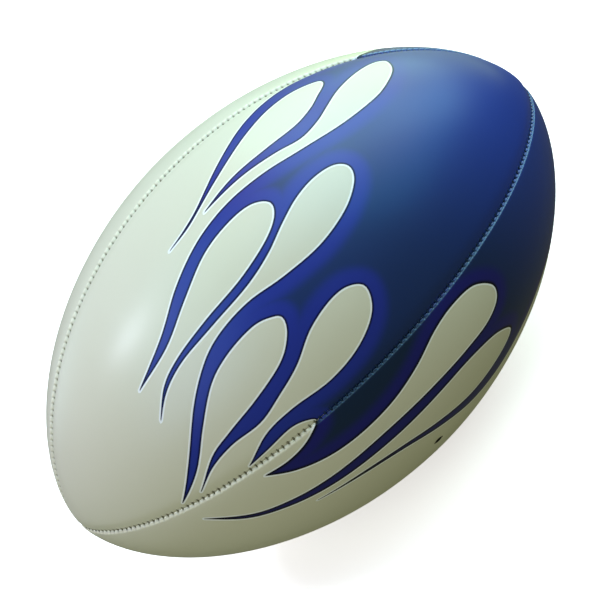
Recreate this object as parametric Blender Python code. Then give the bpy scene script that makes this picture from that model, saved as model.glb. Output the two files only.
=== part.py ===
"""Rugby ball: four stitched cover panels on fabric backing over an inflated bladder.

Frame: metres, +Z up, the origin at the centre of the ball, the long axis along X.
The four seams run from tip to tip at -Y, +Z, +Y and -Z, and longitude is counted
from -Y towards +Z, so panel 1 lies between the -Y seam and the +Z seam.
Every layer is the same barrel profile with both half-axes reduced by its depth.
"""

import math

import bmesh
import bpy
from mathutils import Vector

# ---- the ball -----------------------------------------------------------
LENGTH = 0.290              # tip to tip
DIAMETER = 0.1854           # across the middle
AXIAL_POWER = 1.97          # profile: r = R * (1 - |x / a| ** AXIAL_POWER) ** (1 / RADIAL_POWER)
RADIAL_POWER = 1.71         # 2 would be an ellipse, less makes the ends more pointed
PANELS = 4
QUARTER = 2 * math.pi / PANELS

# ---- layers, as depths below the outer surface --------------------------
GAP = 0.0003                # clearance kept between parts that touch
COVER_THICKNESS = 0.0011
PLY_THICKNESS = 0.0006
PLY_OUTER_DEPTH = COVER_THICKNESS + GAP
PLY_INNER_DEPTH = PLY_OUTER_DEPTH + PLY_THICKNESS + GAP
BLADDER_DEPTH = 0.0064
BLADDER_THICKNESS = 0.0007

# ---- panel edges, turned in along the seams -----------------------------
EDGE_CLEARANCE = 0.00018    # from the seam's plane to the panel's edge
EDGE_ROUND_WIDTH = 0.0020   # the outer corner falls away over this width
EDGE_ROUND_DROP = 0.0013    # and by this much
SEAM_ALLOWANCE = 0.0058     # depth that the turned-in edge reaches
ALLOWANCE_START = 0.010     # the turned-in edge grows where the ball is thicker than this
ALLOWANCE_FULL = 0.026      # and is whole from this radius on
EDGE_ANGLE_LIMIT = math.radians(20)   # an edge's share of a panel near the tips
TIP_RADIUS = 0.0015         # the panels' corners stop at this radius

# ---- seam thread --------------------------------------------------------
THREAD_RADIUS = 0.0004
THREAD_DEPTH = 0.0005       # of its centre line
THREAD_SIDES = 6
CLOSING_SEAM = 3            # the seam that is closed by hand, once the bladder is in
CLOSING_STATION = 13        # station where the hand-sewn stretch starts
CLOSING_GAP = 0.0006        # between the two threads' ends

# ---- valve --------------------------------------------------------------
VALVE_X = -0.004
VALVE_LONGITUDE = math.radians(-43)
VALVE_SIDES = 24
COVER_HOLE_RADIUS = 0.0020
PLY_HOLE_RADIUS = 0.0023
BLADDER_HOLE_RADIUS = 0.0050
NECK_RADIUS = 0.0016
NEEDLE_RADIUS = 0.00095
NECK_TOP_DEPTH = 0.0008
FLANGE_RADIUS = 0.012
FLANGE_DEPTH = 0.0046
FLANGE_THICKNESS = 0.0008
BODY_RADIUS = 0.0046
BODY_END_DEPTH = 0.0140
CORE_BORE_RADIUS = 0.0023
CORE_RADIUS = 0.0020
CORE_TOP_DEPTH = 0.0062
CORE_END_DEPTH = 0.0136
CORE_SLIT_RADIUS = 0.00045
CORE_SLIT_END_DEPTH = 0.0105
BACKING_PATCH_RADIUS = 0.018
BACKING_PATCH_DEPTH = 0.0038
BACKING_PATCH_THICKNESS = 0.0005
BLADDER_PATCH_RADIUS = 0.015
BLADDER_PATCH_DEPTH = 0.0057
BLADDER_PATCH_THICKNESS = 0.0004
PATCH_RING_STEP = 0.0045    # widest ring of a curved patch

# ---- mesh density -------------------------------------------------------
SEGMENTS_ALONG = 18         # from tip to tip
SEGMENTS_ACROSS = 8         # across one panel
TIP_STATION = math.radians(4)   # an extra station close to each tip

HALF_LENGTH = LENGTH / 2
RADIUS = DIAMETER / 2


# ---- the barrel profile -------------------------------------------------
def profile(theta, depth):
    """Axial position and radius of a layer at station angle theta (0 at -X, pi at +X)."""
    along = -math.cos(theta)
    x = (HALF_LENGTH - depth) * along
    fullness = max(0.0, 1 - abs(along) ** AXIAL_POWER)
    return x, (RADIUS - depth) * fullness ** (1 / RADIAL_POWER)


def end_theta(radius):
    """The station angle where the outer surface has this radius, on the -X side."""
    along = (1 - (radius / RADIUS) ** RADIAL_POWER) ** (1 / AXIAL_POWER)
    return math.acos(along)


def on_ball(x, radius, longitude):
    return Vector((x, -radius * math.cos(longitude), radius * math.sin(longitude)))


def stations():
    """Station angles from -X to +X: even steps, with two more close to each tip."""
    tip = end_theta(TIP_RADIUS)
    even = [math.pi * i / SEGMENTS_ALONG for i in range(1, SEGMENTS_ALONG)]
    return [tip, TIP_STATION] + even + [math.pi - TIP_STATION, math.pi - tip]


def edge_angle(width, radius):
    """Longitude taken by a distance from the seam's plane, limited near the tips."""
    return math.asin(min(width / radius, math.sin(EDGE_ANGLE_LIMIT)))


# ---- building objects ---------------------------------------------------
def clear_scene():
    for obj in list(bpy.data.objects):
        bpy.data.objects.remove(obj, do_unlink=True)


def make_material(name, colour, roughness, metallic=0.0):
    material = bpy.data.materials.new(name)
    material.use_nodes = True
    shader = material.node_tree.nodes["Principled BSDF"]
    shader.inputs["Base Color"].default_value = (*colour, 1.0)
    shader.inputs["Roughness"].default_value = roughness
    shader.inputs["Metallic"].default_value = metallic
    return material


def make_object(name, mesh_builder, material):
    """A new object whose mesh is filled in by mesh_builder(bm)."""
    bm = bmesh.new()
    mesh_builder(bm)
    bmesh.ops.recalc_face_normals(bm, faces=bm.faces)
    mesh = bpy.data.meshes.new(name)
    bm.to_mesh(mesh)
    bm.free()
    mesh.shade_smooth()
    mesh.set_sharp_from_angle(angle=math.radians(40))
    mesh.materials.append(material)
    obj = bpy.data.objects.new(name, mesh)
    bpy.context.scene.collection.objects.link(obj)
    return obj


def loft(bm, sections, closed_loop=False):
    """Quads between neighbouring rings of the same number of points; returns the rings."""
    rings = [[bm.verts.new(point) for point in section] for section in sections]
    pairs = list(zip(rings, rings[1:]))
    if closed_loop:
        pairs.append((rings[-1], rings[0]))
    for first, second in pairs:
        count = len(first)
        for i in range(count):
            j = (i + 1) % count
            bm.faces.new((first[i], first[j], second[j], second[i]))
    return rings


# ---- cover panels -------------------------------------------------------
def allowance_depth(radius):
    """Depth of the turned-in edge: whole along the ball, fading out at the tips."""
    share = (radius - ALLOWANCE_START) / (ALLOWANCE_FULL - ALLOWANCE_START)
    share = min(max(share, 0.0), 1.0)
    shallow = COVER_THICKNESS + GAP
    return shallow + (SEAM_ALLOWANCE - shallow) * share


def panel_half_edge(theta):
    """The edge of a panel at one seam, as (depth, width) from the outside inwards."""
    radius = profile(theta, 0)[1]
    deep = allowance_depth(radius)
    inner_width = EDGE_CLEARANCE + COVER_THICKNESS
    return [
        (0.0, EDGE_ROUND_WIDTH),
        (EDGE_ROUND_DROP, EDGE_CLEARANCE),
        (max(deep, EDGE_ROUND_DROP + GAP), EDGE_CLEARANCE),
        (max(deep, EDGE_ROUND_DROP + GAP), inner_width),
        (COVER_THICKNESS, inner_width),
    ]


def edge_point(theta, start, depth, width, far_side):
    x, radius = profile(theta, depth)
    angle = edge_angle(width, radius)
    longitude = start + QUARTER - angle if far_side else start + angle
    return on_ball(x, radius, longitude)


def arc_points(theta, start, depth, width):
    """Points strictly between a panel's two edges, at one depth."""
    x, radius = profile(theta, depth)
    angle = edge_angle(width, radius)
    span = QUARTER - 2 * angle
    steps = range(1, SEGMENTS_ACROSS)
    return [on_ball(x, radius, start + angle + span * j / SEGMENTS_ACROSS) for j in steps]


def panel_section(theta, start):
    edge = panel_half_edge(theta)
    outer = arc_points(theta, start, *edge[0])
    far_edge = [edge_point(theta, start, depth, width, True) for depth, width in edge]
    inner = arc_points(theta, start, *edge[-1])
    near_edge = [edge_point(theta, start, depth, width, False) for depth, width in edge]
    return outer + far_edge + inner[::-1] + near_edge[::-1]


def close_panel_end(bm, ring):
    """Fill a panel's end with quads across its thickness and one small face per edge."""
    arc = SEGMENTS_ACROSS - 1
    edge = len(panel_half_edge(TIP_STATION))
    outer = ring[:arc]
    far_edge = ring[arc:arc + edge]
    inner = ring[arc + edge:2 * arc + edge][::-1]
    near_edge = ring[2 * arc + edge:][::-1]
    top = [near_edge[0]] + outer + [far_edge[0]]
    bottom = [near_edge[-1]] + inner + [far_edge[-1]]
    for i in range(len(top) - 1):
        bm.faces.new((top[i], top[i + 1], bottom[i + 1], bottom[i]))
    bm.faces.new(near_edge)
    bm.faces.new(far_edge)


def build_panel(number, material):
    start = (number - 1) * QUARTER

    def fill(bm):
        rings = loft(bm, [panel_section(theta, start) for theta in stations()])
        close_panel_end(bm, rings[0])
        close_panel_end(bm, rings[-1])

    return make_object(f"cover_panel_{number}", fill, material)


# ---- backing plies ------------------------------------------------------
def ply_section(theta, start, depth):
    """A thin band between the turned-in edges: the outer arc, then the inner one."""
    width = EDGE_CLEARANCE + COVER_THICKNESS + GAP
    section = []
    for level, reverse in ((depth, False), (depth + PLY_THICKNESS, True)):
        ends = [edge_point(theta, start, level, width, side) for side in (False, True)]
        row = [ends[0]] + arc_points(theta, start, level, width) + [ends[1]]
        section += row[::-1] if reverse else row
    return section


def close_band_end(bm, ring):
    half = len(ring) // 2
    top = ring[:half]
    bottom = ring[half:][::-1]
    for i in range(half - 1):
        bm.faces.new((top[i], top[i + 1], bottom[i + 1], bottom[i]))


def build_ply(name, number, depth, material):
    start = (number - 1) * QUARTER
    inner_stations = stations()[1:-1]

    def fill(bm):
        rings = loft(bm, [ply_section(theta, start, depth) for theta in inner_stations])
        close_band_end(bm, rings[0])
        close_band_end(bm, rings[-1])

    return make_object(f"{name}_{number}", fill, material)


# ---- seam threads -------------------------------------------------------
def thread_path(longitude, first, last):
    thetas = stations()[first:last + 1]
    return [on_ball(*profile(theta, THREAD_DEPTH), longitude) for theta in thetas]


def thread_ring(point, direction, longitude):
    """A ring of points round the thread, square to its direction."""
    side = Vector((0, math.sin(longitude), math.cos(longitude)))
    up = side.cross(direction).normalized()
    ring = []
    for i in range(THREAD_SIDES):
        angle = 2 * math.pi * (i + 0.5) / THREAD_SIDES
        ring.append(point + THREAD_RADIUS * (math.cos(angle) * side + math.sin(angle) * up))
    return ring


def build_thread(name, longitude, first, last, material, shorten_start=0.0):
    path = thread_path(longitude, first, last)
    path[0] = path[0] + (path[1] - path[0]).normalized() * shorten_start

    def fill(bm):
        sections = []
        for i, point in enumerate(path):
            before = path[max(i - 1, 0)]
            after = path[min(i + 1, len(path) - 1)]
            sections.append(thread_ring(point, (after - before).normalized(), longitude))
        rings = loft(bm, sections)
        bm.faces.new(rings[0])
        bm.faces.new(rings[-1])

    return make_object(name, fill, material)


# ---- bladder ------------------------------------------------------------
def build_bladder(material):
    """A closed barrel skin with a point at each end, thickened inwards."""
    around = PANELS * SEGMENTS_ACROSS

    def fill(bm):
        sections = []
        for theta in stations()[1:-1]:
            x, radius = profile(theta, BLADDER_DEPTH)
            longitudes = [2 * math.pi * i / around for i in range(around)]
            sections.append([on_ball(x, radius, longitude) for longitude in longitudes])
        rings = loft(bm, sections)
        for ring, side in ((rings[0], -1), (rings[-1], 1)):
            pole = bm.verts.new((side * (HALF_LENGTH - BLADDER_DEPTH), 0, 0))
            for i in range(around):
                bm.faces.new((ring[i], ring[(i + 1) % around], pole))

    bladder = make_object("bladder", fill, material)
    wall = bladder.modifiers.new("wall", "SOLIDIFY")
    wall.thickness = BLADDER_THICKNESS
    wall.offset = -1
    return bladder


# ---- valve --------------------------------------------------------------
def valve_frame():
    """The valve's centre on the outer surface, its outward axis, and its two tangents."""
    theta = math.acos(-VALVE_X / HALF_LENGTH)
    step = 1e-4
    x, radius = profile(theta, 0)
    x_before, radius_before = profile(theta - step, 0)
    x_after, radius_after = profile(theta + step, 0)
    centre = on_ball(x, radius, VALVE_LONGITUDE)
    before = on_ball(x_before, radius_before, VALVE_LONGITUDE)
    after = on_ball(x_after, radius_after, VALVE_LONGITUDE)
    along = (after - before).normalized()
    across = Vector((0, math.sin(VALVE_LONGITUDE), math.cos(VALVE_LONGITUDE)))
    outward = across.cross(along).normalized()
    if outward.dot(centre) < 0:
        outward.negate()
    return centre, outward, along, across


def along_curvature():
    """Curvature of the profile at the valve, from three nearby stations."""
    theta = math.acos(-VALVE_X / HALF_LENGTH)
    step = 0.01
    (x0, r0), (x1, r1), (x2, r2) = (profile(theta + k * step, 0) for k in (-1, 0, 1))
    slope_before = (r1 - r0) / (x1 - x0)
    slope_after = (r2 - r1) / (x2 - x1)
    return abs(slope_after - slope_before) / ((x2 - x0) / 2)


def valve_ring(radius, depth):
    """A ring round the valve's axis that follows the curve of the ball at a depth."""
    centre, outward, along, across = valve_frame()
    points = []
    for i in range(VALVE_SIDES):
        angle = 2 * math.pi * i / VALVE_SIDES
        a = radius * math.cos(angle)
        b = radius * math.sin(angle)
        fall = a * a * along_curvature() / 2 + b * b / (2 * RADIUS)
        points.append(centre + a * along + b * across - (depth + fall) * outward)
    return points


def curved_steps(inner, outer, depth):
    """Rings from one radius to another, close enough together to follow the curve."""
    count = max(1, math.ceil(abs(outer - inner) / PATCH_RING_STEP))
    return [(inner + (outer - inner) * i / count, depth) for i in range(count + 1)]


def turned(name, outline, material):
    """A ring-shaped solid from a closed outline of (radius, depth) points."""
    def fill(bm):
        loft(bm, [valve_ring(radius, depth) for radius, depth in outline], closed_loop=True)

    return make_object(name, fill, material)


def build_patch(name, inner, outer, depth, thickness, material):
    outline = curved_steps(inner, outer, depth)
    outline += curved_steps(outer, inner, depth + thickness)
    return turned(name, outline, material)


def build_valve_housing(material):
    flange_under = FLANGE_DEPTH + FLANGE_THICKNESS
    shoulder = CORE_TOP_DEPTH - GAP
    outline = [(NEEDLE_RADIUS, NECK_TOP_DEPTH), (NECK_RADIUS, NECK_TOP_DEPTH)]
    outline += curved_steps(NECK_RADIUS, FLANGE_RADIUS, FLANGE_DEPTH)
    outline += curved_steps(FLANGE_RADIUS, BODY_RADIUS, flange_under)
    outline += [(BODY_RADIUS, BODY_END_DEPTH), (CORE_BORE_RADIUS, BODY_END_DEPTH)]
    outline += [(CORE_BORE_RADIUS, shoulder), (NEEDLE_RADIUS, shoulder)]
    return turned("valve_housing", outline, material)


def build_valve_core(material):
    """A plug with a blind needle slit, turned as stacked rings closed at both ends."""
    outline = [
        (CORE_SLIT_RADIUS, CORE_SLIT_END_DEPTH),
        (CORE_SLIT_RADIUS, CORE_TOP_DEPTH),
        (CORE_RADIUS, CORE_TOP_DEPTH),
        (CORE_RADIUS, CORE_END_DEPTH),
    ]

    def fill(bm):
        rings = loft(bm, [valve_ring(radius, depth) for radius, depth in outline])
        bm.faces.new(rings[0])
        bm.faces.new(rings[-1])

    return make_object("valve_core", fill, material)


def build_hole_cutter(name, radius, start_depth, end_depth):
    def fill(bm):
        rings = loft(bm, [valve_ring(radius, start_depth), valve_ring(radius, end_depth)])
        bm.faces.new(rings[0])
        bm.faces.new(rings[-1])

    cutter = make_object(name, fill, make_material(name, (0.5, 0.5, 0.5), 0.5))
    cutter.hide_render = True
    cutter.display_type = "WIRE"
    return cutter


def cut(obj, cutter):
    modifier = obj.modifiers.new("valve_hole", "BOOLEAN")
    modifier.operation = "DIFFERENCE"
    modifier.solver = "EXACT"
    modifier.object = cutter


# ---- assembly -----------------------------------------------------------
def main():
    clear_scene()
    cover = make_material("cover_vinyl", (0.78, 0.82, 0.76), 0.42)
    cotton = make_material("backing_cotton", (0.72, 0.66, 0.52), 0.9)
    thread = make_material("waxed_thread", (0.83, 0.82, 0.74), 0.7)
    butyl = make_material("bladder_butyl", (0.025, 0.025, 0.028), 0.6)
    valve_rubber = make_material("valve_rubber", (0.02, 0.02, 0.02), 0.5)
    patch_rubber = make_material("patch_rubber", (0.05, 0.045, 0.04), 0.7)

    panels = [build_panel(number, cover) for number in range(1, PANELS + 1)]
    outer_plies = []
    inner_plies = []
    for number in range(1, PANELS + 1):
        outer_plies.append(build_ply("backing_ply_outer", number, PLY_OUTER_DEPTH, cotton))
        inner_plies.append(build_ply("backing_ply_inner", number, PLY_INNER_DEPTH, cotton))

    last = len(stations()) - 3
    for seam in range(1, PANELS + 1):
        longitude = (seam - 1) * QUARTER
        end = CLOSING_STATION if seam == CLOSING_SEAM else last
        build_thread(f"seam_thread_{seam}", longitude, 2, end, thread)
    closing_longitude = (CLOSING_SEAM - 1) * QUARTER
    build_thread("closing_thread", closing_longitude, CLOSING_STATION, last, thread, CLOSING_GAP)

    bladder = build_bladder(butyl)
    build_valve_housing(valve_rubber)
    build_valve_core(patch_rubber)
    build_patch("valve_backing_patch", PLY_HOLE_RADIUS, BACKING_PATCH_RADIUS,
                BACKING_PATCH_DEPTH, BACKING_PATCH_THICKNESS, cotton)
    build_patch("bladder_valve_patch", BLADDER_HOLE_RADIUS, BLADDER_PATCH_RADIUS,
                BLADDER_PATCH_DEPTH, BLADDER_PATCH_THICKNESS, patch_rubber)

    above = -0.003
    below_plies = 0.0045
    valve_panel = PANELS - 1
    cover_cutter = build_hole_cutter("cover_hole_cutter", COVER_HOLE_RADIUS, above, below_plies)
    ply_cutter = build_hole_cutter("ply_hole_cutter", PLY_HOLE_RADIUS, above, below_plies)
    bladder_cutter = build_hole_cutter("bladder_hole_cutter", BLADDER_HOLE_RADIUS, 0.003, 0.012)
    cut(panels[valve_panel], cover_cutter)
    cut(outer_plies[valve_panel], ply_cutter)
    cut(inner_plies[valve_panel], ply_cutter)
    cut(bladder, bladder_cutter)


main()
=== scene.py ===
"""The look of the rugby ball: printed cover panels, puckered seams, stitches and valve.

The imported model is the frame. The ball's long axis is X and its centre is the origin.
A place on the ball is its arc along the meridian from the middle (towards +X), its
longitude (0 at the -Y seam, 90 degrees at the +Z seam) and its depth under the surface.
"""

import math

import bpy
import numpy as np
from mathutils import Matrix, Vector


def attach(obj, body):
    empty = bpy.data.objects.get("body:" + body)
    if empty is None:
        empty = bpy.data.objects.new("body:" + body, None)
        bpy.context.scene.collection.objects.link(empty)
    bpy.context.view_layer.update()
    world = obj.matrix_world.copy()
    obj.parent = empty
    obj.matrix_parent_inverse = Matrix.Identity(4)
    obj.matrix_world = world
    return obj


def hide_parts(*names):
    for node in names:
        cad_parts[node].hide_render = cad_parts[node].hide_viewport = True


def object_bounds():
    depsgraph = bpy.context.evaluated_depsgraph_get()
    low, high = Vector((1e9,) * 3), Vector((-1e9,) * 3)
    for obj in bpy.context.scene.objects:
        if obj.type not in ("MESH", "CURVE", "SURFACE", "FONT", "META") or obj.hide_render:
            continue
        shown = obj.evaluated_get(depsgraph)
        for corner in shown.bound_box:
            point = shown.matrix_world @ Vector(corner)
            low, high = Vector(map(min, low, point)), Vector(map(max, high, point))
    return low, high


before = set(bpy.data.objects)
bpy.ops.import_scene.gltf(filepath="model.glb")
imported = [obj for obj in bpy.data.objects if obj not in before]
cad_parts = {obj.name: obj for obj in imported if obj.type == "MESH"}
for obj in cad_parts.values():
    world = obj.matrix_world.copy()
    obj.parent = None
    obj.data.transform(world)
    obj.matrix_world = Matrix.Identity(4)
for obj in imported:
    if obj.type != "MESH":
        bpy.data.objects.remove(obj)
cad_low, cad_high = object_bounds()

MM = 0.001

# ---- the ball, as the CAD has it ----------------------------------------
HALF_LENGTH = cad_high.x + 0.06 * MM       # the CAD panels stop just short of the tips
RADIUS = cad_high.z + 0.02 * MM            # and fall away a little along the seams
AXIAL_POWER = 1.97
RADIAL_POWER = 1.71
PANELS = 4
QUARTER = 2 * math.pi / PANELS
COVER_THICKNESS = 1.1 * MM
INSIDE_DEPTH = 1.2 * MM                    # of the panels' inside, clear of the unevenness
PLY_THICKNESS = 0.6 * MM
PLY_DEPTHS = {"backing_ply_outer": 1.4 * MM, "backing_ply_inner": 2.3 * MM}
PLY_MARGIN = 1.6 * MM                      # from a panel's edge
PLY_TIP_GAP = 6 * MM
TIP_GAP = 0.5 * MM                         # between a panel's ends and the ball's tips
SEAM_ALLOWANCE = 5.8 * MM                  # depth that the turned-in edges reach
TIP_ALLOWANCE = 2.6 * MM                   # and at the tips, where there is less room
TIP_ALLOWANCE_RADIUS = 10 * MM             # the ball's radius where the smaller one ends
FULL_ALLOWANCE_RADIUS = 26 * MM            # and where the full one starts
FACE_DEPTH = 2.2 * MM                      # where a turned-in edge's face starts
INNER_CORNER_DEPTH = 1.9 * MM              # and where its back meets the panel's inside
BLADDER_DEPTH = 6.4 * MM
BLADDER_THICKNESS = 0.7 * MM
BLADDER_TIP_GAP = 3 * MM

# ---- stitching ----------------------------------------------------------
STITCHES = 128                             # along one seam, 2.9 mm apart
PLAIN_STITCHES = 2                         # steps without a stitch at each tip
THREAD_RADIUS = 0.32 * MM
CLOSING_SEAM = 3                           # its last stretch is sewn by hand
CLOSING_STITCH = 93                        # first stitch of that stretch

# ---- seam shape, in millimetres from the seam and of depth --------------
# Panels 2 and 4 have a round lip along both edges. The edges of panels 1 and 3 lie lower,
# against their neighbours' lips, and carry the stitch holes.
LIP = {"dip": (0.12, 3.0), "roll": (1.45, 2.20), "pinch": (0.75, 0.40, 0.60), "swell": 0.08}
LOW = {"dip": (0.95, 3.6), "roll": (0.72, 1.20), "pinch": (0.50, 0.60, 0.55), "swell": 0.06}
PINCH_LENGTH = 0.45                        # half length of a stitch's pull along the seam
PIT_SHADE_LENGTH = 0.38                          # and of the painted shade in the pit that it makes
WEAR_AND_HIGHLIGHT_GAP = 1.20                             # how far from a stitch the edge gets its wear and painted highlight
TIP_FADE = 24 * MM                         # the seam gets shallower towards the tips
TIP_SEAM_SHARE = 0.45                      # to this share of its depth
UNEVEN_DEPTH = 0.05 * MM                   # of the cover's broad, faint waves

# ---- mesh density -------------------------------------------------------
STEPS_PER_STITCH = 4                       # stations on the panels' fields
STRIP_STEPS_PER_STITCH = 8                 # and on the strips along the seams
EDGE_STEPS_PER_STITCH = 16                 # and right at the seams
# the columns' distances from the seam, in millimetres: the edge's, then the strip's
EDGE = (0.06, 0.16, 0.3, 0.46, 0.64, 0.84, 1.06, 1.32)
STRIP = (1.65, 2.1, 2.7, 3.4, 4.3)
STRIP_SHARE = 0.35                         # of a panel that the two may take at a tip
FIELD_COLUMNS = 84
INNER_COLUMNS = 14
PLY_STATIONS = 97
PLY_COLUMNS = 24
BLADDER_RINGS = 97
BLADDER_SIDES = 96
THREAD_SIDES = 8
VALVE_SIDES = 72
HOLE_SIDES = 64

# ---- valve --------------------------------------------------------------
VALVE_ARC = -4 * MM
VALVE_LONGITUDE = math.radians(-43)
VALVE_PANEL = 4
COVER_HOLE_RADIUS = 2.0 * MM
PLY_HOLE_RADIUS = 2.3 * MM
BLADDER_HOLE_RADIUS = 5.0 * MM
FABRIC_PATCH = (18 * MM, 3.8 * MM, 0.5 * MM)   # radius, depth and thickness
RUBBER_PATCH = (15 * MM, 5.7 * MM, 0.4 * MM)
DIMPLE_DEPTH = 0.25 * MM                   # the cover sinks a little round the valve
DIMPLE_RADIUS = 3 * MM


# ---- the barrel surface -------------------------------------------------
def profile(theta):
    along = -np.cos(theta)
    fullness = np.clip(1 - np.abs(along) ** AXIAL_POWER, 0, None)
    return HALF_LENGTH * along, RADIUS * fullness ** (1 / RADIAL_POWER)


THETA = np.linspace(0, math.pi, 8001)
_x, _r = profile(THETA)
ARC = np.concatenate([[0], np.cumsum(np.hypot(np.diff(_x), np.diff(_r)))])
HALF_ARC = ARC[-1] / 2
ARC -= HALF_ARC
STITCH_PITCH = 2 * HALF_ARC / STITCHES


def meridian(arc):
    """Axial position, radius, and the outward normal's axial and radial parts."""
    theta = np.interp(arc, ARC, THETA)
    step = 1e-4
    x, radius = profile(theta)
    x_before, r_before = profile(np.clip(theta - step, 0, math.pi))
    x_after, r_after = profile(np.clip(theta + step, 0, math.pi))
    length = np.hypot(x_after - x_before, r_after - r_before)
    return x, radius, -(r_after - r_before) / length, (x_after - x_before) / length


def place(arc, longitude, depth):
    """Points on the ball, as an array with a last axis of three."""
    x, radius, normal_x, normal_r = meridian(arc)
    r = radius - depth * normal_r
    cos, sin = np.cos(longitude), np.sin(longitude)
    return np.stack([x - depth * normal_x, -r * cos, r * sin], axis=-1)


def outward(arc, longitude):
    _, _, normal_x, normal_r = meridian(arc)
    cos, sin = np.cos(longitude), np.sin(longitude)
    return np.stack([normal_x + 0 * cos, -normal_r * cos, normal_r * sin], axis=-1)


# ---- making objects -----------------------------------------------------
def new_object(name, points, faces, material, smooth=True):
    mesh = bpy.data.meshes.new(name)
    mesh.from_pydata(points, [], faces)
    mesh.validate()
    if smooth:
        mesh.shade_smooth()
    mesh.materials.append(material)
    obj = bpy.data.objects.new(name, mesh)
    bpy.context.scene.collection.objects.link(obj)
    return obj


def finish_piece(obj, slot, *nodes):
    """Rides on the ball's only body and stands for its CAD nodes; slot is not used."""
    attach(obj, "root")
    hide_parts(*nodes)
    return obj


def join_columns(a, b):
    """Faces between two columns of point numbers, with the same or half the steps."""
    if len(a) == len(b):
        return list(zip(a[:-1], a[1:], b[1:], b[:-1]))
    faces = []
    if len(a) > len(b):
        for i in range(len(b) - 1):
            faces.append((a[2 * i], a[2 * i + 1], b[i]))
            faces.append((a[2 * i + 1], b[i + 1], b[i]))
            faces.append((a[2 * i + 1], a[2 * i + 2], b[i + 1]))
        return faces
    for i in range(len(a) - 1):
        faces.append((a[i], b[2 * i + 1], b[2 * i]))
        faces.append((a[i], a[i + 1], b[2 * i + 1]))
        faces.append((a[i + 1], b[2 * i + 2], b[2 * i + 1]))
    return faces


def closed_loft(columns):
    """Points and faces of a solid whose columns run tip to tip, in order round its section."""
    numbers = []
    count = 0
    for column in columns:
        numbers.append(list(range(count, count + len(column))))
        count += len(column)
    faces = []
    for a, b in zip(numbers, numbers[1:] + numbers[:1]):
        faces += join_columns(a, b)
    faces.append([column[0] for column in numbers])
    faces.append([column[-1] for column in numbers][::-1])
    return np.concatenate(columns), faces


def ring_loft(rings, closed=True):
    """Points and faces of a solid through rings of equal size; ends are capped if open."""
    size = len(rings[0])
    count = len(rings)
    faces = []
    for i in range(count if closed else count - 1):
        a = i * size
        b = (i + 1) % count * size
        for j in range(size):
            k = (j + 1) % size
            faces.append((a + j, a + k, b + k, b + j))
    if not closed:
        faces.append(list(range(size))[::-1])
        faces.append(list(range((count - 1) * size, count * size)))
    return np.concatenate(rings), faces


def set_attribute(obj, name, values):
    attribute = obj.data.attributes.new(name, "FLOAT", "POINT")
    attribute.data.foreach_set("value", np.asarray(values, dtype=np.float32))


def points_of(obj):
    co = np.zeros(len(obj.data.vertices) * 3)
    obj.data.vertices.foreach_get("co", co)
    return co.reshape(-1, 3)


# ---- the printed flames -------------------------------------------------
# Each outline is a list of (arc in mm, longitude in degrees). A lick's tip is where two
# outlines meet, and each drop outline runs from one tip round the drop to the next tip.
# The print repeats every half turn.
PRINT_TOP = [(190, 96), (150, 95), (112, 92), (95, 90.4), (80, 88.9), (62, 87), (46, 84.2),
             (31, 80.2), (12, 73.7), (-8, 67.2), (-20, 64.9), (-31, 64)]
PRINT_DROPS = [
    [(-31, 64), (-20, 64.3), (-10, 65.9), (10, 70.5), (29, 75.6), (44.5, 79.4), (58, 81.2),
     (68.5, 80.6), (72.5, 79), (71, 76), (64.5, 72.2), (57, 68.6), (46, 66), (30, 65.6),
     (10, 65.6), (-9, 63.8)],
    [(-9, 63.8), (12, 63.8), (30, 62.4), (43, 60.9), (54, 62.6), (62.5, 65.6), (73, 70),
     (85, 74.3), (95.5, 77.5), (101.5, 78), (104.5, 75.8), (102, 69), (94, 63), (82, 58.6),
     (62, 56.6), (40, 57.6), (20, 59.6), (0, 60.4), (-20, 58.9), (-40, 54.8), (-60, 48.8),
     (-84, 44)],
    [(-84, 44), (-62, 45.5), (-42, 50.2), (-22, 54.8), (-5, 56), (7, 55), (13, 51.4),
     (9, 47.4), (-2, 44.3), (-20, 42.2), (-42, 41.7), (-62, 40.7), (-75, 38.2), (-87, 32)],
    [(-87, 32), (-76, 36.7), (-62, 39.1), (-42, 39.4), (-20, 39.8), (-4, 41.7), (10, 45),
     (22, 47.5), (34, 48.5), (44, 47.4), (48, 44), (44, 39.7), (32, 35.7), (14, 33.7),
     (-6, 34.6), (-24, 36.6), (-42, 36.3), (-56, 33.6), (-72.5, 27), (-91.5, 15.4), (-109, 3)],
    [(-109, 3), (-92, 11.2), (-76, 20.8), (-60, 28.2), (-46, 31), (-30, 31.4), (-21, 29.5),
     (-18, 27.2), (-22, 23.3), (-32, 19.4), (-50, 16.6), (-68, 14.5), (-82.5, 11.6),
     (-98, 3.4)],
    [(-98, 3.4), (-86, 8.7), (-72, 11), (-56, 10.8), (-42, 13.2), (-28, 16), (-14, 20.2),
     (0, 22), (10, 21.3), (15.5, 17.8), (10, 12), (-4, 8), (-22, 6.6), (-42, 7.8),
     (-58, 6.8), (-73, 1.6)],
    [(-73, 1.6), (-62, 2.7), (-50, 3.8), (-43, 3), (-38, 0.6), (-42, -1.3), (-50, -3.5),
     (-60, -4.6), (-71, -4.3)],
    [(-71, -4.3), (-60, -8.7), (-46, -11.5), (-30, -12.3), (-10, -11.3), (8, -8.6),
     (24, -5.2), (38, -4.4), (51, -6.4), (58.5, -12.6), (56, -17.6), (46, -19.8),
     (30, -19.2), (8, -18.3), (-20, -18.1), (-50, -19.3), (-70, -19), (-88, -16.6),
     (-107, -8.6)],
    [(-107, -8.6), (-92, -17.2), (-76, -20.9), (-54, -22.7), (-20, -22.4), (12, -22),
     (30, -23), (45.5, -26.6), (54, -33), (49, -36.5), (34, -37.3), (18.5, -36), (0, -32),
     (-18, -28.3), (-38, -26.2), (-62, -25.8)],
]
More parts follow.
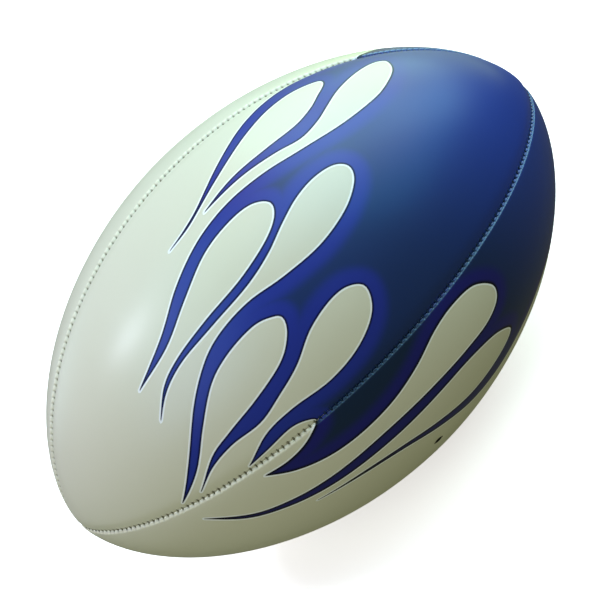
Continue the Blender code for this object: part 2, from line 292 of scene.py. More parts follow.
PRINT_BOTTOM = [(-62, -25.8), (-38, -27.2), (-18, -30), (1.5, -35.5), (20, -41), (40, -43.8),
                (62, -44), (80, -44), (95, -45.8), (108, -52), (117, -62), (117, -74),
                (108, -84), (93, -92)]
# Where each lick would run on to, past its tip, clear of the other licks.
PAST_TIPS = [(-43, 63), (-30, 60.8), (-96, 42.5), (-97, 27.5), (-118, -1), (-107, -2),
             (-85, -1.2), (-83, -4.5), (-117, -4), (-74, -25)]
PAST_TIP_OVERLAP = 2.2                     # how far the bare regions overlap there, in mm
PAST_BALL = -260.0                         # past the plain tip, in mm
PAST_REPEAT = 140.0                        # past where the print repeats, in degrees
PLAIN_END = -121                           # no ink nearer to the plain tip than this, in mm
PRINT_REACH = 16.0                         # distances beyond this don't matter, in mm
SPLINE_STEPS = 6
MM_PER_DEGREE = math.radians(1) * RADIUS / MM


def smooth_curve(points):
    """A Catmull-Rom curve through the points, with both its ends."""
    p = np.array([points[0]] + points + [points[-1]], dtype=float)
    t = np.linspace(0, 1, SPLINE_STEPS, endpoint=False)[:, None]
    spans = []
    for a, b, c, d in zip(p, p[1:], p[2:], p[3:]):
        bend = (2 * a - 5 * b + 4 * c - d) * t ** 2 + (3 * b - a - 3 * c + d) * t ** 3
        spans.append(b + 0.5 * ((c - a) * t + bend))
    return np.concatenate(spans + [p[-1:]])


def past_tip(tip, past, side):
    """Points that carry an edge on past a lick's tip, to one side of the way it would run."""
    scale = np.array([1, MM_PER_DEGREE])
    axis = (past - tip) * scale
    axis /= np.linalg.norm(axis)
    across = np.array([-axis[1], axis[0]]) * side * PAST_TIP_OVERLAP
    first = tip + (axis * PAST_TIP_OVERLAP / 2 + across) / scale
    second = past + across / scale
    return np.array([first, second, (PAST_BALL, second[1])])


def bare_regions():
    """Closed outlines of the regions without ink: the drops between the licks, and both ends.

    They overlap a little past the licks' tips, so that each has smooth edges there.
    """
    curves = [smooth_curve(c) for c in [PRINT_TOP] + PRINT_DROPS + [PRINT_BOTTOM]]
    past = []
    for curve, beyond in zip(curves, PAST_TIPS):
        past.append((curve[-1], np.array(beyond)))
    regions = []
    for i, curve in enumerate(curves):
        parts = []
        if i == 0:
            parts.append(np.array([(PRINT_TOP[0][0], PAST_REPEAT)]))
        else:
            parts.append(past_tip(*past[i - 1], -1)[::-1])
        parts.append(curve)
        if i == len(curves) - 1:
            last = PRINT_BOTTOM[-1][0]
            parts.append(np.array([(last, -PAST_REPEAT), (PAST_BALL, -PAST_REPEAT)]))
        else:
            parts.append(past_tip(*past[i], 1))
        if i == 0:
            parts.append(np.array([(PAST_BALL, PAST_REPEAT)]))
        regions.append(np.concatenate(parts))
    return regions


def distance_from(outline, s, lon, per_degree):
    """Distance outside a closed outline (positive) or inside it (negative), in millimetres."""
    start, end = outline, np.roll(outline, -1, axis=0)
    ax = start[None, :, 0] - s[:, None]
    bx = end[None, :, 0] - s[:, None]
    ay = (start[None, :, 1] - lon[:, None]) * per_degree[:, None]
    by = (end[None, :, 1] - lon[:, None]) * per_degree[:, None]
    dx, dy = bx - ax, by - ay
    t = np.clip(-(ax * dx + ay * dy) / (dx * dx + dy * dy + 1e-12), 0, 1)
    gap = np.sqrt(((ax + t * dx) ** 2 + (ay + t * dy) ** 2).min(axis=1))
    crosses = (ay > 0) != (by > 0)
    hit = crosses & (ax - ay * dx / np.where(dy == 0, 1e-12, dy) > 0)
    return np.where(hit.sum(axis=1) % 2 == 1, -gap, gap)


def print_distances(arc, longitude, radius):
    """Distances into the ink from the even and from the odd bare regions.

    The ink is where both are positive. Kept apart, each is smooth across a lick, so the
    licks stay sharp down to their tips on a mesh that is coarser than they are.
    """
    s = arc / MM
    lon = (np.degrees(longitude) + 90) % 180 - 90
    per_degree = np.radians(1) * radius / MM
    fields = np.full((2, len(s)), PRINT_REACH)
    for i, outline in enumerate(bare_regions()):
        field = fields[i % 2]
        for chunk in np.array_split(np.arange(len(s)), max(1, len(s) // 6000)):
            found = distance_from(outline, s[chunk], lon[chunk], per_degree[chunk])
            field[chunk] = np.minimum(field[chunk], found)
    fields = np.minimum(fields, s - PLAIN_END)
    return np.maximum(fields, -PRINT_REACH)


# ---- the seam's shape ---------------------------------------------------
def from_stitch(arc):
    """Distance along the seam from the nearest stitch, in millimetres."""
    step = (arc + HALF_ARC) / STITCH_PITCH
    return (step - np.floor(step) - 0.5) * STITCH_PITCH / MM


def stitched_share(arc):
    """1 where the seam is stitched and 0 at the plain tips."""
    return np.clip((HALF_ARC - np.abs(arc)) / STITCH_PITCH - PLAIN_STITCHES + 1, 0, 1)


def seam_share(arc):
    """The share of the seam's full depth that is left at a place along it."""
    return np.interp(HALF_ARC - np.abs(arc), (0, TIP_FADE), (TIP_SEAM_SHARE, 1))


def seam_depth(arc, distance, shape):
    """How far the cover lies below the barrel, near a seam."""
    u = distance / MM
    depth = shape["dip"][0] * np.exp(-(u / shape["dip"][1]) ** 2)
    roll = np.clip(1 - u / shape["roll"][1], 0, 1)
    depth = depth + shape["roll"][0] * (1 - np.sqrt(1 - roll ** 2))
    pull = np.exp(-(from_stitch(arc) / PINCH_LENGTH) ** 2)
    deep, where, wide = shape["pinch"]
    pinch = deep * pull * np.exp(-((u - where) / wide) ** 2)
    swell = shape["swell"] * (1 - pull) * np.exp(-((u - 1.0) / 0.9) ** 2)
    return (depth * seam_share(arc) + (pinch - swell) * stitched_share(arc)) * MM


def seam_marks(arc, distance, lipped):
    """How much painted shade darkens the stitches' pits, and how much wear and painted
    highlight brighten the edges; from 0 to 1.
    """
    u = distance / MM
    stitched = stitched_share(arc)
    away = from_stitch(arc)
    # painted shade: darkens the pit at each stitch
    pit_shade = np.exp(-(away / PIT_SHADE_LENGTH) ** 2 - (u / 0.95) ** 2) * stitched
    # wear and painted highlight: the edge between stitches and the lip's crest are lightened
    between = 1 - np.exp(-(away / WEAR_AND_HIGHLIGHT_GAP) ** 2)
    bulge = 0.85 * between * np.exp(-(u / (0.75 if lipped else 0.3)) ** 2)
    crest = np.exp(-((u - 1.0) / 0.36) ** 2) if lipped else 0.0
    return pit_shade, np.maximum(bulge * stitched, crest)


def unevenness(arc, longitude):
    """The gentle unevenness of a hand-filled cover, in metres."""
    a = arc / MM
    wave = np.sin(a / 17 + 2 * longitude) * np.sin(a / 29 - 3 * longitude + 1)
    return UNEVEN_DEPTH * wave


def valve_distance(arc, longitude):
    across = (longitude - VALVE_LONGITUDE + math.pi) % (2 * math.pi) - math.pi
    return np.hypot(arc - VALVE_ARC, across * RADIUS)


# ---- cover panels -------------------------------------------------------
def stations(steps):
    """Arc positions from tip to tip; the tips' own points are left open."""
    tip = HALF_ARC - TIP_GAP
    return np.clip(np.linspace(-HALF_ARC, HALF_ARC, STITCHES * steps + 1), -tip, tip)


def strip_scale(radius):
    return np.minimum(1, STRIP_SHARE * radius * QUARTER / (STRIP[-1] * MM))


def cover_columns(start):
    """Columns round a panel's section, with distance from the nearer seam for the outside."""
    fine = stations(EDGE_STEPS_PER_STITCH)
    middle = stations(STRIP_STEPS_PER_STITCH)
    coarse = stations(STEPS_PER_STITCH)
    columns = []

    def add_column(arc, distance, depth, far):
        angle = distance / meridian(arc)[1]
        longitude = start + (QUARTER - angle if far else angle)
        columns.append((arc, longitude, distance, depth))

    def outer_strips(far):
        for arc, places in ((fine, EDGE), (middle, STRIP)):
            scale = strip_scale(meridian(arc)[1])
            for d in places:
                add_column(arc, d * MM * scale, None, far)

    def turned_edge(far):
        """Down the joint's face to the seam allowance's end, and back up inside it."""
        face = EDGE[0] * MM
        for arc, d, depth in ((middle, face, FACE_DEPTH), (coarse, face, None),
                              (coarse, face + COVER_THICKNESS, None),
                              (coarse, face + COVER_THICKNESS, INNER_CORNER_DEPTH)):
            radius = meridian(arc)[1]
            reach = np.interp(radius, (TIP_ALLOWANCE_RADIUS, FULL_ALLOWANCE_RADIUS),
                              (TIP_ALLOWANCE, SEAM_ALLOWANCE))
            depth = reach if depth is None else depth + 0 * arc
            add_column(arc, d * strip_scale(radius), depth, far)

    def reverse_from(count):
        columns[count:] = columns[count:][::-1]

    outer_strips(False)
    scale = strip_scale(meridian(coarse)[1])
    around = meridian(coarse)[1] * QUARTER
    first = STRIP[-1] * MM * scale
    for i in range(1, FIELD_COLUMNS + 1):
        distance = first + (around - 2 * first) * i / (FIELD_COLUMNS + 1)
        far = i > FIELD_COLUMNS / 2
        add_column(coarse, around - distance if far else distance, None, far)
    count = len(columns)
    outer_strips(True)
    reverse_from(count)
    turned_edge(True)
    first = (EDGE[0] * MM + COVER_THICKNESS) * scale
    for i in range(INNER_COLUMNS, 0, -1):
        distance = first + (around - 2 * first) * i / (INNER_COLUMNS + 1)
        add_column(coarse, distance, np.full(len(coarse), INSIDE_DEPTH), False)
    count = len(columns)
    turned_edge(False)
    reverse_from(count)
    return columns


def build_cover_panel(number, material):
    start = (number - 1) * QUARTER
    lipped = number % 2 == 0
    points, arcs, longitudes, outers, pit_shades, wears_and_highlights = [], [], [], [], [], []
    for arc, longitude, distance, depth in cover_columns(start):
        outers.append(np.full(len(arc), depth is None))
        pit_shade, wear_and_highlight = seam_marks(arc, distance, lipped)
        pit_shades.append(pit_shade)
        wears_and_highlights.append(wear_and_highlight)
        if depth is None:
            depth = seam_depth(arc, distance, LIP if lipped else LOW)
            depth = depth - unevenness(arc, longitude)
            if number == VALVE_PANEL:
                near = valve_distance(arc, longitude) / DIMPLE_RADIUS
                depth = depth + DIMPLE_DEPTH * np.exp(-near ** 2)
        points.append(place(arc, longitude, depth))
        arcs.append(arc)
        longitudes.append(longitude)
    vertices, faces = closed_loft(points)
    panel = new_object(f"printed_cover_panel_{number}", vertices, faces, material)
    arcs, longitudes = np.concatenate(arcs), np.concatenate(longitudes)
    outers, pit_shades, wears_and_highlights = np.concatenate(outers), np.concatenate(pit_shades), np.concatenate(wears_and_highlights)
    even, odd = print_distances(arcs, longitudes, meridian(arcs)[1])
    set_attribute(panel, "ink_even", np.where(outers, even, -PRINT_REACH))
    set_attribute(panel, "ink_odd", np.where(outers, odd, -PRINT_REACH))
    # painted shade in the stitches' pits
    set_attribute(panel, "pit_shade", np.where(outers, pit_shades, 0))
    # wear and painted highlight along the seam edges
    set_attribute(panel, "wear_and_highlight", np.where(outers, wears_and_highlights, 0))
    set_attribute(panel, "along", arcs / MM)
    return panel


# ---- round pieces on the valve's axis -----------------------------------
def valve_frame():
    centre = place(VALVE_ARC, VALVE_LONGITUDE, 0.0)
    normal = outward(VALVE_ARC, VALVE_LONGITUDE)
    across = np.array([0, math.sin(VALVE_LONGITUDE), math.cos(VALVE_LONGITUDE)])
    along = np.cross(normal, across)
    return centre, normal, along, across


def valve_ring(radius, depth, sides):
    """A ring round the valve's axis that follows the curve of the ball."""
    centre, normal, along, across = valve_frame()
    step = 5 * MM
    bulge = (meridian(VALVE_ARC + step)[1] + meridian(VALVE_ARC - step)[1]) / 2
    curvature = 2 * (meridian(VALVE_ARC)[1] - bulge) / step ** 2
    angle = 2 * math.pi * np.arange(sides)[:, None] / sides
    a, b = radius * np.cos(angle), radius * np.sin(angle)
    fall = a * a * curvature / 2 + b * b / (2 * RADIUS)
    return centre + a * along + b * across - (depth + fall) * normal


def rounded(outline, radius, steps=4):
    """A closed (radius, depth) outline with its corners rounded."""
    result = []
    count = len(outline)
    for i, (x, y) in enumerate(outline):
        corner = np.array([x, y])
        before = np.array(outline[i - 1]) - corner
        after = np.array(outline[(i + 1) % count]) - corner
        reach = min(radius, np.linalg.norm(before) / 2.2, np.linalg.norm(after) / 2.2)
        p = corner + before / np.linalg.norm(before) * reach
        q = corner + after / np.linalg.norm(after) * reach
        for t in np.linspace(0, 1, steps + 1):
            result.append(tuple((1 - t) ** 2 * p + 2 * t * (1 - t) * corner + t * t * q))
    return result


def split_long(outline, limit):
    """The outline with extra points on its long runs, so that discs can follow the ball."""
    result = []
    for p, q in zip(outline, outline[1:] + outline[:1]):
        count = max(1, math.ceil(math.dist(p, q) / limit))
        for i in range(count):
            t = i / count
            result.append((p[0] + (q[0] - p[0]) * t, p[1] + (q[1] - p[1]) * t))
    return result


def turned(name, outline, material, corner):
    outline = split_long(rounded(outline, corner), 2.0 * MM)
    rings = [valve_ring(radius, depth, VALVE_SIDES) for radius, depth in outline]
    points, faces = ring_loft(rings)
    return new_object(name, points, faces, material)


def hole_cutter(radius, top, bottom):
    rings = [valve_ring(radius, depth, HOLE_SIDES) for depth in (top, bottom)]
    points, faces = ring_loft(rings, closed=False)
    material = bpy.data.materials.new("cutter")
    return new_object("hole_cutter", points, faces, material, smooth=False)


def cut_hole(obj, radius, top, bottom):
    """Cuts a round hole on the valve's axis and keeps the result as a plain mesh."""
    cutter = hole_cutter(radius, top, bottom)
    modifier = obj.modifiers.new("hole", "BOOLEAN")
    modifier.operation = "DIFFERENCE"
    modifier.object = cutter
    graph = bpy.context.evaluated_depsgraph_get()
    mesh = bpy.data.meshes.new_from_object(obj.evaluated_get(graph))
    obj.modifiers.clear()
    obj.data = mesh
    bpy.data.objects.remove(cutter, do_unlink=True)


def clean_hole_rim(panel):
    """The rim of the valve hole is bare cover material, far from any print or seam."""
    centre = valve_frame()[0]
    near = np.linalg.norm(points_of(panel) - centre, axis=1) < 2 * COVER_HOLE_RADIUS
    bare = {"ink_even": -PRINT_REACH, "ink_odd": -PRINT_REACH, "pit_shade": 0.0, "wear_and_highlight": 0.0}
    for name, value in bare.items():
        data = panel.data.attributes[name].data
        values = np.zeros(len(data), dtype=np.float32)
        data.foreach_get("value", values)
        values[near] = value
        data.foreach_set("value", values)


def darken_hole_wall(panel, material):
    """The wall of the valve hole takes the valve's dark rubber material, so the hole looks
    dark.
    """
    panel.data.materials.append(material)
    centre, axis = valve_frame()[:2]
    for face in panel.data.polygons:
        offset = np.array(face.center) - centre
        if np.linalg.norm(offset - np.dot(offset, axis) * axis) < 1.02 * COVER_HOLE_RADIUS:
            face.material_index = 1


def build_valve(rubber, plug_rubber):
    housing = [(0.95, 0.75), (1.62, 0.75), (1.62, 4.6), (12, 4.6), (12, 5.4), (4.6, 5.4),
               (4.6, 14.0), (2.3, 14.0), (2.3, 5.9), (0.95, 5.9)]
    housing = [(r * MM, d * MM) for r, d in housing]
    obj = turned("moulded_valve", housing, rubber, 0.18 * MM)
    finish_piece(obj, "valve_rubber", "valve_housing")
    outline = [(0.02, 10.5), (0.42, 10.5), (0.45, 6.25), (2.0, 6.2), (2.0, 13.4), (0.02, 13.6)]
    outline = [(r * MM, d * MM) for r, d in outline]
    obj = turned("needle_plug", outline, plug_rubber, 0.15 * MM)
    finish_piece(obj, "valve_rubber", "valve_core")


def build_patch(name, inner, size, material):
    outer, depth, thickness = size
    bottom = depth + thickness
    outline = [(inner, depth), (outer, depth), (outer, bottom), (inner, bottom)]
    return turned(name, outline, material, thickness / 2.2)


# ---- threads ------------------------------------------------------------
# One stitch as (distance across the seam, depth), in millimetres: out from under the lip,
# over the groove, down through the lower edge, and back to the next stitch inside.
STITCH_PATH = [(-1.0, 2.6), (-0.9, 1.7), (-0.6, 1.22), (-0.2, 1.2), (0.2, 1.2), (0.55, 1.2),
               (0.85, 1.25), (1.08, 1.45), (1.16, 1.9), (1.16, 2.6)]
RETURN_PATH = [(0.7, 3.2), (-0.4, 3.2)]
STITCH_SLANT = 0.12                        # how far it runs along the seam as it crosses


def thread_points(stitches, seam):
    low_side = 1 if seam % 2 == 1 else -1      # the side that panel 1 or 3 is on
    rows = []
    for stitch in range(*stitches):
        centre = (stitch + 0.5) * STITCH_PITCH - HALF_ARC
        for across, depth in STITCH_PATH:
            rows.append((centre + STITCH_SLANT * across * MM, across * MM, depth * MM))
        for i, (across, depth) in enumerate(RETURN_PATH):
            rows.append((centre + STITCH_PITCH * (i + 1) / 3, across * MM, depth * MM))
    arc, across, depth = np.array(rows[:-len(RETURN_PATH)]).T
    radius = meridian(arc)[1]
    longitude = (seam - 1) * QUARTER + low_side * across * strip_scale(radius) / radius
    return arc, place(arc, longitude, depth * seam_share(arc))


def build_thread(name, seam, stitches, material, node):
    arc, points = thread_points(stitches, seam)
    tangent = np.gradient(points, axis=0)
    tangent /= np.linalg.norm(tangent, axis=1)[:, None]
    x_axis = np.tile([1.0, 0, 0], (len(points), 1))
    side = x_axis - (x_axis * tangent).sum(1)[:, None] * tangent
    side /= np.linalg.norm(side, axis=1)[:, None]
    other = np.cross(tangent, side)
    angles = 2 * math.pi * np.arange(THREAD_SIDES) / THREAD_SIDES
    rings = []
    for p, s, o in zip(points, side, other):
        ring = np.outer(np.cos(angles), s) + np.outer(np.sin(angles), o)
        rings.append(p + THREAD_RADIUS * ring)
    vertices, faces = ring_loft(rings, closed=False)
    thread = new_object(name, vertices, faces, material)
    fields = print_distances(arc, np.full(len(arc), (seam - 1) * QUARTER), meridian(arc)[1])
    for field, values in zip(("ink_even", "ink_odd"), fields):
        set_attribute(thread, field, np.repeat(values, len(angles)))
    return finish_piece(thread, "thread", node)


def build_threads(material):
    last = STITCHES - PLAIN_STITCHES
    for seam in range(1, PANELS + 1):
        end = CLOSING_STITCH if seam == CLOSING_SEAM else last
        stitches = (PLAIN_STITCHES, end)
        build_thread(f"stitching_{seam}", seam, stitches, material, f"seam_thread_{seam}")
    stitches = (CLOSING_STITCH, last)
    build_thread("closing_stitches", CLOSING_SEAM, stitches, material, "closing_thread")


# ---- layers inside ------------------------------------------------------
def build_ply(name, number, depth, material):
    """A thin woven shell that fills the panel between its turned-in edges."""
    start = (number - 1) * QUARTER
    end = HALF_ARC - PLY_TIP_GAP
    arc = np.linspace(-end, end, PLY_STATIONS)
    radius = meridian(arc)[1]
    margin = np.minimum(PLY_MARGIN / radius, QUARTER / 5)
    columns = []
    for level, order in ((depth, 1), (depth + PLY_THICKNESS, -1)):
        for i in list(range(PLY_COLUMNS + 1))[::order]:
            longitude = start + margin + (QUARTER - 2 * margin) * i / PLY_COLUMNS
            columns.append(place(arc, longitude, level))
    points, faces = closed_loft(columns)
    ply = new_object(f"woven_{name}_{number}", points, faces, material)
    if number == VALVE_PANEL:
        cut_hole(ply, PLY_HOLE_RADIUS, 0.5 * MM, 4 * MM)
    return finish_piece(ply, "backing_fabric", f"{name}_{number}")


def bladder_skin():
    angle = 2 * math.pi * np.arange(BLADDER_SIDES) / BLADDER_SIDES
    end = HALF_ARC - BLADDER_TIP_GAP
    rings = []
    for arc in np.linspace(-end, end, BLADDER_RINGS):
        rings.append(place(np.full(BLADDER_SIDES, arc), angle, BLADDER_DEPTH))
    return ring_loft(rings, closed=False)


def build_bladder(material):
    points, faces = bladder_skin()
    bladder = new_object("inflated_bladder", points, faces, material)
    wall = bladder.modifiers.new("wall", "SOLIDIFY")
    wall.thickness = BLADDER_THICKNESS
    wall.offset = -1
    cut_hole(bladder, BLADDER_HOLE_RADIUS, 3 * MM, 12 * MM)
    return finish_piece(bladder, "bladder_rubber", "bladder")


# ---- materials ----------------------------------------------------------
def start_material(name):
    material = bpy.data.materials.new(name)
    material.use_nodes = True
    tree = material.node_tree
    return material, tree, tree.nodes["Principled BSDF"]


def add(tree, kind, settings=None, **inputs):
    """A new node; inputs are values or other nodes' outputs, by name with _ for a space."""
    node = tree.nodes.new(kind)
    for key, value in (settings or {}).items():
        setattr(node, key, value)
    for key, value in inputs.items():
        connect(tree, value, node.inputs[key.replace("_", " ")])
    return node


def connect(tree, value, socket):
    if isinstance(value, bpy.types.NodeSocket):
        tree.links.new(value, socket)
    else:
        socket.default_value = value


def ramp(tree, value, low, high, to_low=0.0, to_high=1.0):
    node = add(tree, "ShaderNodeMapRange", {"interpolation_type": "SMOOTHSTEP"}, Value=value,
               From_Min=low, From_Max=high, To_Min=to_low, To_Max=to_high)
    return node.outputs["Result"]


def mix(tree, factor, a, b):
    node = add(tree, "ShaderNodeMix", {"data_type": "RGBA"})
    for value, index in ((factor, 0), (a, 6), (b, 7)):
        connect(tree, value, node.inputs[index])
    return node.outputs[2]


def attribute(tree, name):
    return add(tree, "ShaderNodeAttribute", {"attribute_name": name}).outputs["Fac"]


def noise(tree, scale, detail=4.0, roughness=0.5):
    place_on_object = add(tree, "ShaderNodeTexCoord").outputs["Object"]
    node = add(tree, "ShaderNodeTexNoise", None, Vector=place_on_object, Scale=scale,
               Detail=detail, Roughness=roughness)
    return node.outputs["Fac"]


def bump(tree, height, distance, strength, under=None):
    node = add(tree, "ShaderNodeBump", None, Height=height, Distance=distance,
               Strength=strength)
    if under is not None:
        connect(tree, under, node.inputs["Normal"])
    return node.outputs["Normal"]


def rgb(red, green, blue):
    """A colour given by its 8-bit screen values."""
    linear = []
    for value in (red, green, blue):
        c = value / 255
        linear.append(c / 12.92 if c <= 0.04045 else ((c + 0.055) / 1.055) ** 2.4)
    return (*linear, 1.0)


def ink_distance(tree):
    """Millimetres into the ink from its outline."""
    ink = add(tree, "ShaderNodeMath", {"operation": "MINIMUM"})
    connect(tree, attribute(tree, "ink_even"), ink.inputs[0])
    connect(tree, attribute(tree, "ink_odd"), ink.inputs[1])
    return ink.outputs[0]


def cover_material(name, deep_low, deep_high, halo, line, line_width):
    """Printed cover: the ink is deep blue, brighter near its outline, with a dark edge line."""
    material, tree, shader = start_material(name)
    ink = ink_distance(tree)
    along = attribute(tree, "along")
    pit_shade = attribute(tree, "pit_shade")
    wear_and_highlight = attribute(tree, "wear_and_highlight")
    blotch = noise(tree, 14.0)

    bare = mix(tree, blotch, rgb(213, 215, 202), rgb(219, 221, 209))
    # wear and painted highlight on the seam edges
    bare = mix(tree, wear_and_highlight, bare, rgb(238, 238, 225))
    # painted shade in the stitches' pits
    bare = mix(tree, pit_shade, bare, rgb(118, 114, 90))
    keyline = ramp(tree, ink, -1.05, -0.85)
    bare = mix(tree, keyline, bare, rgb(240, 246, 255))

    deep = mix(tree, ramp(tree, along, 30.0, 130.0), deep_low, deep_high)
    glow = mix(tree, ramp(tree, ink, 3.5, 9.5), halo, deep)
    # wear and painted highlight on the seam edges over the ink, lighter towards the printed end
    wear_and_highlight_colour = mix(tree, ramp(tree, along, 10.0, 95.0), rgb(70, 100, 122), rgb(128, 172, 214))
    glow = mix(tree, ramp(tree, wear_and_highlight, 0.35, 1.0, 0.0, 0.65), glow, wear_and_highlight_colour)
    # painted shade in the stitches' pits, over the ink
    glow = mix(tree, pit_shade, glow, rgb(3, 9, 22))
    inked = mix(tree, ramp(tree, ink, 0.3, line_width), line, glow)
    colour = mix(tree, ramp(tree, ink, -0.25, -0.1), bare, inked)
    connect(tree, colour, shader.inputs["Base Color"])

    grain = noise(tree, 1100.0, 3.0)
    satin = ramp(tree, blotch, 0.3, 0.7, 0.31, 0.37)
    connect(tree, satin, shader.inputs["Roughness"])
    rough = bump(tree, grain, 0.03 * MM, 0.35)
    soft = bump(tree, noise(tree, 160.0), 0.05 * MM, 0.25, rough)
    connect(tree, soft, shader.inputs["Normal"])
    # the dark line round the print and the stitches' pits are matt
    matt = add(tree, "ShaderNodeMath", {"operation": "MULTIPLY"})
    connect(tree, ramp(tree, ink, -0.3, -0.1), matt.inputs[0])
    connect(tree, ramp(tree, ink, 0.2, 0.9, 0.6, 0.0), matt.inputs[1])
    matt = add(tree, "ShaderNodeMath", {"operation": "MAXIMUM"}, Value=matt.outputs[0])
    connect(tree, pit_shade, matt.inputs[1])
    shine = ramp(tree, matt.outputs[0], 0.0, 1.0, 0.5, 0.12)
    connect(tree, shine, shader.inputs["Specular IOR Level"])
    shader.inputs["IOR"].default_value = 1.43
    return material


def woven_material(name, light, dark, pitch):
    """Plain weave: two crossed sets of yarns."""
    material, tree, shader = start_material(name)
    place_on_object = add(tree, "ShaderNodeTexCoord").outputs["Object"]
    heights = []
    for direction in ("X", "Z"):
        wave = add(tree, "ShaderNodeTexWave", {"bands_direction": direction},
                   Vector=place_on_object, Scale=math.pi / (10 * pitch), Distortion=0.4)
        heights.append(wave.outputs["Fac"])
    weave = add(tree, "ShaderNodeMath", {"operation": "MULTIPLY"})
    connect(tree, heights[0], weave.inputs[0])
    connect(tree, heights[1], weave.inputs[1])
    colour = mix(tree, weave.outputs[0], dark, light)
    connect(tree, mix(tree, noise(tree, 60.0), colour, light), shader.inputs["Base Color"])
    rough = ramp(tree, noise(tree, 400.0), 0.3, 0.7, 0.8, 0.95)
    connect(tree, rough, shader.inputs["Roughness"])
    connect(tree, bump(tree, weave.outputs[0], 0.15 * MM, 0.8), shader.inputs["Normal"])
    return material


def thread_material():
    material, tree, shader = start_material("waxed_thread")
    fibre = noise(tree, 2600.0, 3.0)
    bare = mix(tree, fibre, rgb(108, 108, 88), rgb(130, 130, 108))
    stained = mix(tree, fibre, rgb(14, 38, 66), rgb(26, 56, 90))
    colour = mix(tree, ramp(tree, ink_distance(tree), -0.5, 0.5), bare, stained)
    connect(tree, colour, shader.inputs["Base Color"])
    connect(tree, ramp(tree, fibre, 0.3, 0.7, 0.45, 0.65), shader.inputs["Roughness"])
    connect(tree, bump(tree, fibre, 0.08 * MM, 0.7), shader.inputs["Normal"])
    return material


def rubber_material(name, dark, light, low, high):
    material, tree, shader = start_material(name)
    cloud = noise(tree, 90.0)
    connect(tree, mix(tree, cloud, dark, light), shader.inputs["Base Color"])
    connect(tree, ramp(tree, cloud, 0.3, 0.7, low, high), shader.inputs["Roughness"])
    grain = noise(tree, 1500.0, 2.0)
    connect(tree, bump(tree, grain, 0.03 * MM, 0.5), shader.inputs["Normal"])
    return material


# ---- the studio ---------------------------------------------------------
VIEW_DISTANCE = 809 * MM
VIEW_ELEVATION = math.radians(26.7)
VIEW_YAW = math.radians(4.57)              # the printed end is turned a little away
VIEW_ROLL = math.radians(-45.16)           # and points up to the right in the picture
AIM_RIGHT = 1.25 * MM
AIM_DOWN = 2.44 * MM
LENS_MM = 104.5
LIGHT_DISTANCE = 1.3
SHEEN_DISTANCE = 1.25                      # nearer, or lights would hide those behind them
SKY_SHEEN = 0.4                            # how much of the sky's light the ball mirrors
LIGHT_FROM_BELOW = (0.259, 0.267, 0.154, 1)
LIGHT_FROM_ABOVE = (0.268, 0.230, 0.167, 1)
FLOOR_HALF_SIZE = 6.0
FLOOR_GLOW = (0.96, 0.93, 1.0, 1.0)
FLOOR_GLOW_STRENGTH = 0.60


def build_camera():
    """A camera square to the ball's side, then turned by yaw and rolled about its own axis."""
    # the ball's long axis, as seen by a camera that looks along +Z with Y down
    axis = np.array([math.cos(VIEW_YAW) * math.cos(VIEW_ROLL),
                     math.cos(VIEW_YAW) * math.sin(VIEW_ROLL), math.sin(VIEW_YAW)])
    front = np.array([0, 0, -1.0]) - axis * -axis[2]
    front /= np.linalg.norm(front)
    seen = np.stack([axis, front, np.cross(axis, front)], axis=1)
    cos, sin = math.cos(VIEW_ELEVATION), math.sin(VIEW_ELEVATION)
    ball = np.array([[1, 0, 0], [0, -cos, -sin], [0, sin, -cos]])
    right, down, ahead = (ball @ seen.T).T
    offset = np.array([AIM_RIGHT, AIM_DOWN, VIEW_DISTANCE])
    position = -(ball @ seen.T) @ offset
    camera = bpy.data.objects.new("camera", bpy.data.cameras.new("camera"))
    bpy.context.scene.collection.objects.link(camera)
    camera.data.lens = LENS_MM
    camera.data.clip_start = 0.01
    turn = Matrix([right, -down, -ahead]).transposed()
    camera.matrix_world = Matrix.Translation(position) @ turn.to_4x4()
    bpy.context.scene.camera = camera
    return camera


def area_light(name, azimuth, elevation, size, watts, colour, diffuse=True, glossy=True):
    """A square softbox that faces the ball; azimuth 0 is +X."""
    data = bpy.data.lights.new(name, "AREA")
    data.shape = "SQUARE"
    data.size = size
    data.energy = watts
    data.color = colour
    azimuth, elevation = math.radians(azimuth), math.radians(elevation)
    flat = math.cos(elevation)
    direction = Vector((flat * math.cos(azimuth), flat * math.sin(azimuth),
                        math.sin(elevation)))
    light = bpy.data.objects.new(name, data)
    light.location = (LIGHT_DISTANCE if diffuse else SHEEN_DISTANCE) * direction
    light.rotation_euler = (-direction).to_track_quat("-Z", "Y").to_euler()
    light.visible_diffuse = diffuse
    light.visible_glossy = glossy
    bpy.context.scene.collection.objects.link(light)
    return light


def build_world():
    """Dim light from all round, mirrored faintly, that the camera sees as a pale backdrop."""
    world = bpy.data.worlds.new("studio")
    world.use_nodes = True
    tree = world.node_tree
    direction = add(tree, "ShaderNodeTexCoord").outputs["Generated"]
    height = add(tree, "ShaderNodeSeparateXYZ", None, Vector=direction).outputs["Z"]
    sky = mix(tree, ramp(tree, height, -0.15, 0.2), LIGHT_FROM_BELOW, LIGHT_FROM_ABOVE)
    rays = add(tree, "ShaderNodeLightPath")
    sky = mix(tree, rays.outputs["Is Camera Ray"], sky, rgb(244, 243, 242))
    background = tree.nodes["Background"]
    connect(tree, sky, background.inputs["Color"])
    strength = ramp(tree, rays.outputs["Is Glossy Ray"], 0.0, 1.0, 1.0, SKY_SHEEN)
    connect(tree, strength, background.inputs["Strength"])
    bpy.context.scene.world = world


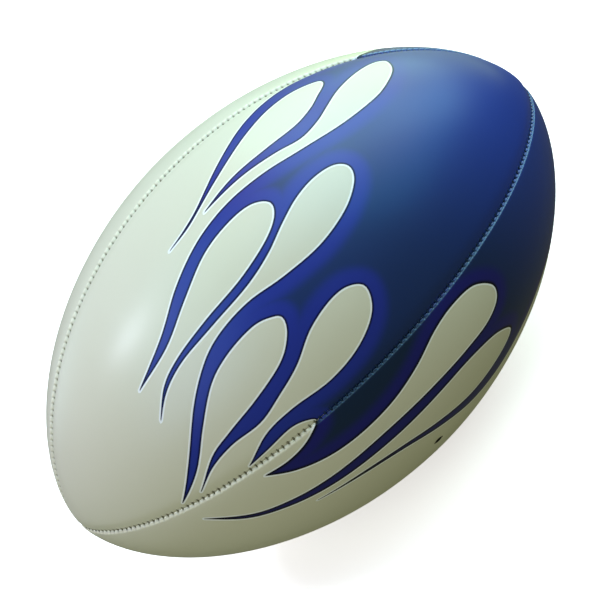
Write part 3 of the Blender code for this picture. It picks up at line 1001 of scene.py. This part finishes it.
def build_studio():
    material, tree, shader = start_material("pale_floor")
    speckle = noise(tree, 30.0)
    white = mix(tree, speckle, rgb(246, 246, 245), rgb(250, 250, 250))
    connect(tree, white, shader.inputs["Base Color"])
    shader.inputs["Roughness"].default_value = 0.9
    shader.inputs["Emission Color"].default_value = FLOOR_GLOW
    shader.inputs["Emission Strength"].default_value = FLOOR_GLOW_STRENGTH
    size = FLOOR_HALF_SIZE
    z = cad_low.z
    corners = [(-size, -size, z), (size, -size, z), (size, size, z), (-size, size, z)]
    floor = new_object("floor", corners, [(0, 1, 2, 3)], material, smooth=False)
    floor.visible_diffuse = False              # its bounce is part of the light from below
    floor.visible_glossy = False
    build_world()
    area_light("window", 20, 40, 1.4, 12.8, (0.59, 0.97, 0.90))
    area_light("window_sheen", 20, 40, 1.4, 4.9, (0.49, 1.0, 0.86), diffuse=False)
    area_light("top_sheen", 0, 55, 1.4, 7.9, (1.0, 0.55, 0.2), diffuse=False)
    area_light("right_softbox", 340, 45, 1.4, 10.5, (0.75, 0.98, 0.93), glossy=False)
    area_light("right_sheen", 340, 45, 1.4, 20.6, (0.06, 0.56, 1.0), diffuse=False)
    area_light("low_window", 45, 12, 1.0, 3.1, (0.73, 1.0, 0.15))
    area_light("left_softbox", 180, 62, 0.75, 1.4, (0.1, 0.1, 1.0))
    area_light("left_fill", 216, 30, 0.75, 4.3, (0.9, 0.98, 0.87), glossy=False)
    area_light("left_fill_sheen", 225, 33, 0.75, 4.0, (0.15, 0.4, 0.9), diffuse=False)
    area_light("left_sheen", 213, 68, 1.0, 5.2, (0.5, 1.0, 0.85), diffuse=False)
    area_light("back_fill", 100, 50, 1.4, 4.8, (0.9, 0.8, 0.95), glossy=False)
    area_light("back_window", 126, 17, 0.5, 1.0, (0.65, 0.9, 1.0))
    area_light("lamp", 169, 54, 0.15, 3.8, (0.8, 0.88, 1.0))
    bpy.context.scene.view_settings.view_transform = "Standard"


# ---- assembly -----------------------------------------------------------
def build_ball():
    # the valve panel and the one opposite it take a darker copy of the print: partly a darker
    # print, partly painted shade for the valve panel, which is on the shaded underside
    bright = cover_material("printed_vinyl", rgb(20, 46, 101), rgb(25, 54, 149),
                            rgb(27, 46, 150), rgb(10, 15, 66), 1.0)
    dark = cover_material("printed_vinyl_dark_and_shaded", rgb(13, 38, 72), rgb(29, 54, 134),
                          rgb(21, 25, 116), rgb(5, 6, 30), 1.7)
    cotton = woven_material("backing_cotton", rgb(214, 205, 178), rgb(150, 138, 108), 0.6 * MM)
    butyl = rubber_material("bladder_butyl", rgb(24, 24, 26), rgb(38, 38, 40), 0.5, 0.65)
    valve_rubber = rubber_material("valve_rubber", rgb(20, 20, 20), rgb(34, 33, 31), 0.4, 0.55)
    patch_rubber = rubber_material("patch_rubber", rgb(46, 42, 38), rgb(60, 55, 50), 0.6, 0.75)

    for number in range(1, PANELS + 1):
        # panels 2 and 4 take the darker copy, which is partly painted shade
        panel = build_cover_panel(number, dark if (number - VALVE_PANEL) % 2 == 0 else bright)
        if number == VALVE_PANEL:
            cut_hole(panel, COVER_HOLE_RADIUS, -3 * MM, 4.4 * MM)
            clean_hole_rim(panel)
            darken_hole_wall(panel, valve_rubber)
        finish_piece(panel, "cover", f"cover_panel_{number}")
        for name, depth in PLY_DEPTHS.items():
            build_ply(name, number, depth, cotton)
    build_threads(thread_material())
    build_bladder(butyl)
    build_valve(valve_rubber, patch_rubber)
    fabric = build_patch("fabric_valve_patch", PLY_HOLE_RADIUS, FABRIC_PATCH, cotton)
    finish_piece(fabric, "backing_fabric", "valve_backing_patch")
    rubber = build_patch("rubber_valve_patch", BLADDER_HOLE_RADIUS, RUBBER_PATCH, patch_rubber)
    finish_piece(rubber, "bladder_rubber", "bladder_valve_patch")


build_camera()
build_studio()
build_ball()
